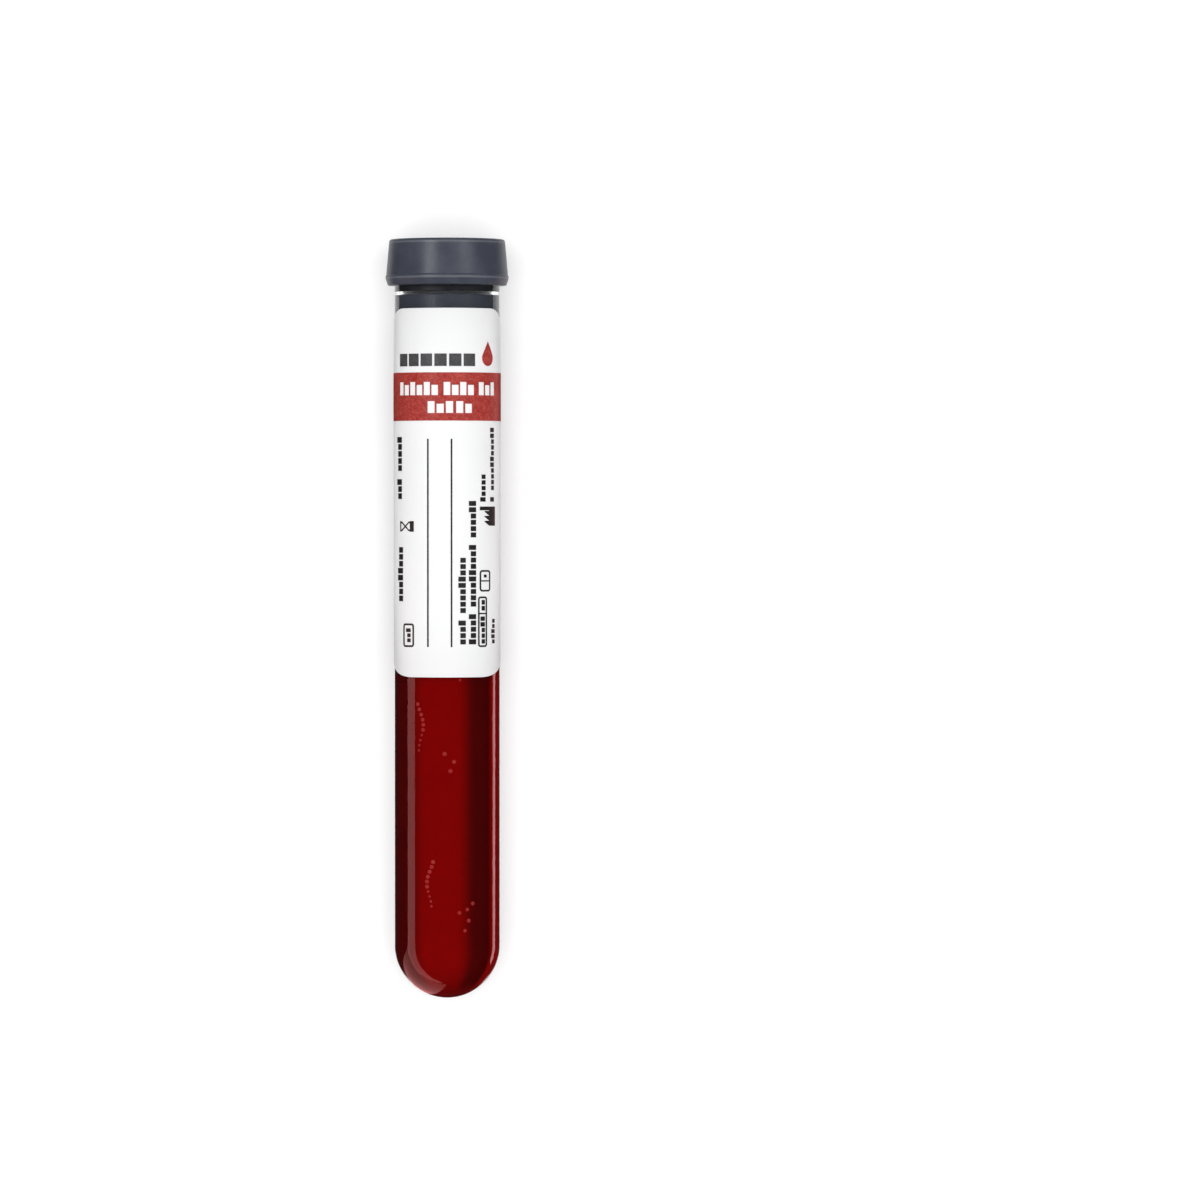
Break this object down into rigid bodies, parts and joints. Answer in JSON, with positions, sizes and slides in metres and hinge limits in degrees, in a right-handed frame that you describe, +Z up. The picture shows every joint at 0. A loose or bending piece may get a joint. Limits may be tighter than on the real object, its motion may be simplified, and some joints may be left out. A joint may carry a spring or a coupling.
{
  "type": "blood collection tube",
  "caption": "Round-ended glass tube filled with blood, closed by a pull-out rubber stopper, with a wrap-around write-on label.",
  "frame": {"origin": "the middle of the box around the tube as it lies, on the surface that it lies on", "axes": "+Z up, through the middle of the label; the tube lies along Y with its stopper towards +Y, and its axis rises 0.77 degrees towards the stopper because the ridge around the stopper is wider than the glass; X across"},
  "size_m": [0.0188, 0.1156, 0.0187],
  "materials": {
    "clear_glass": "gloss",
    "grey_rubber": "satin",
    "label_film": "satin",
    "red_ink": "satin",
    "grey_ink": "satin",
    "blood": "gloss"
  },
  "bodies": {
    "tube": {"glass_tube": "clear_glass", "label": "label_film", "red_print": "red_ink", "grey_print": "grey_ink", "blood_sample": "blood"},
    "stopper": {"stopper": "grey_rubber"}
  },
  "joints": [
    {"name": "stopper_pull", "type": "slide", "parent": "tube", "child": "stopper", "axis": [0, 0.9999, 0.0135], "range_m": [0, 0.02]}
  ]
}
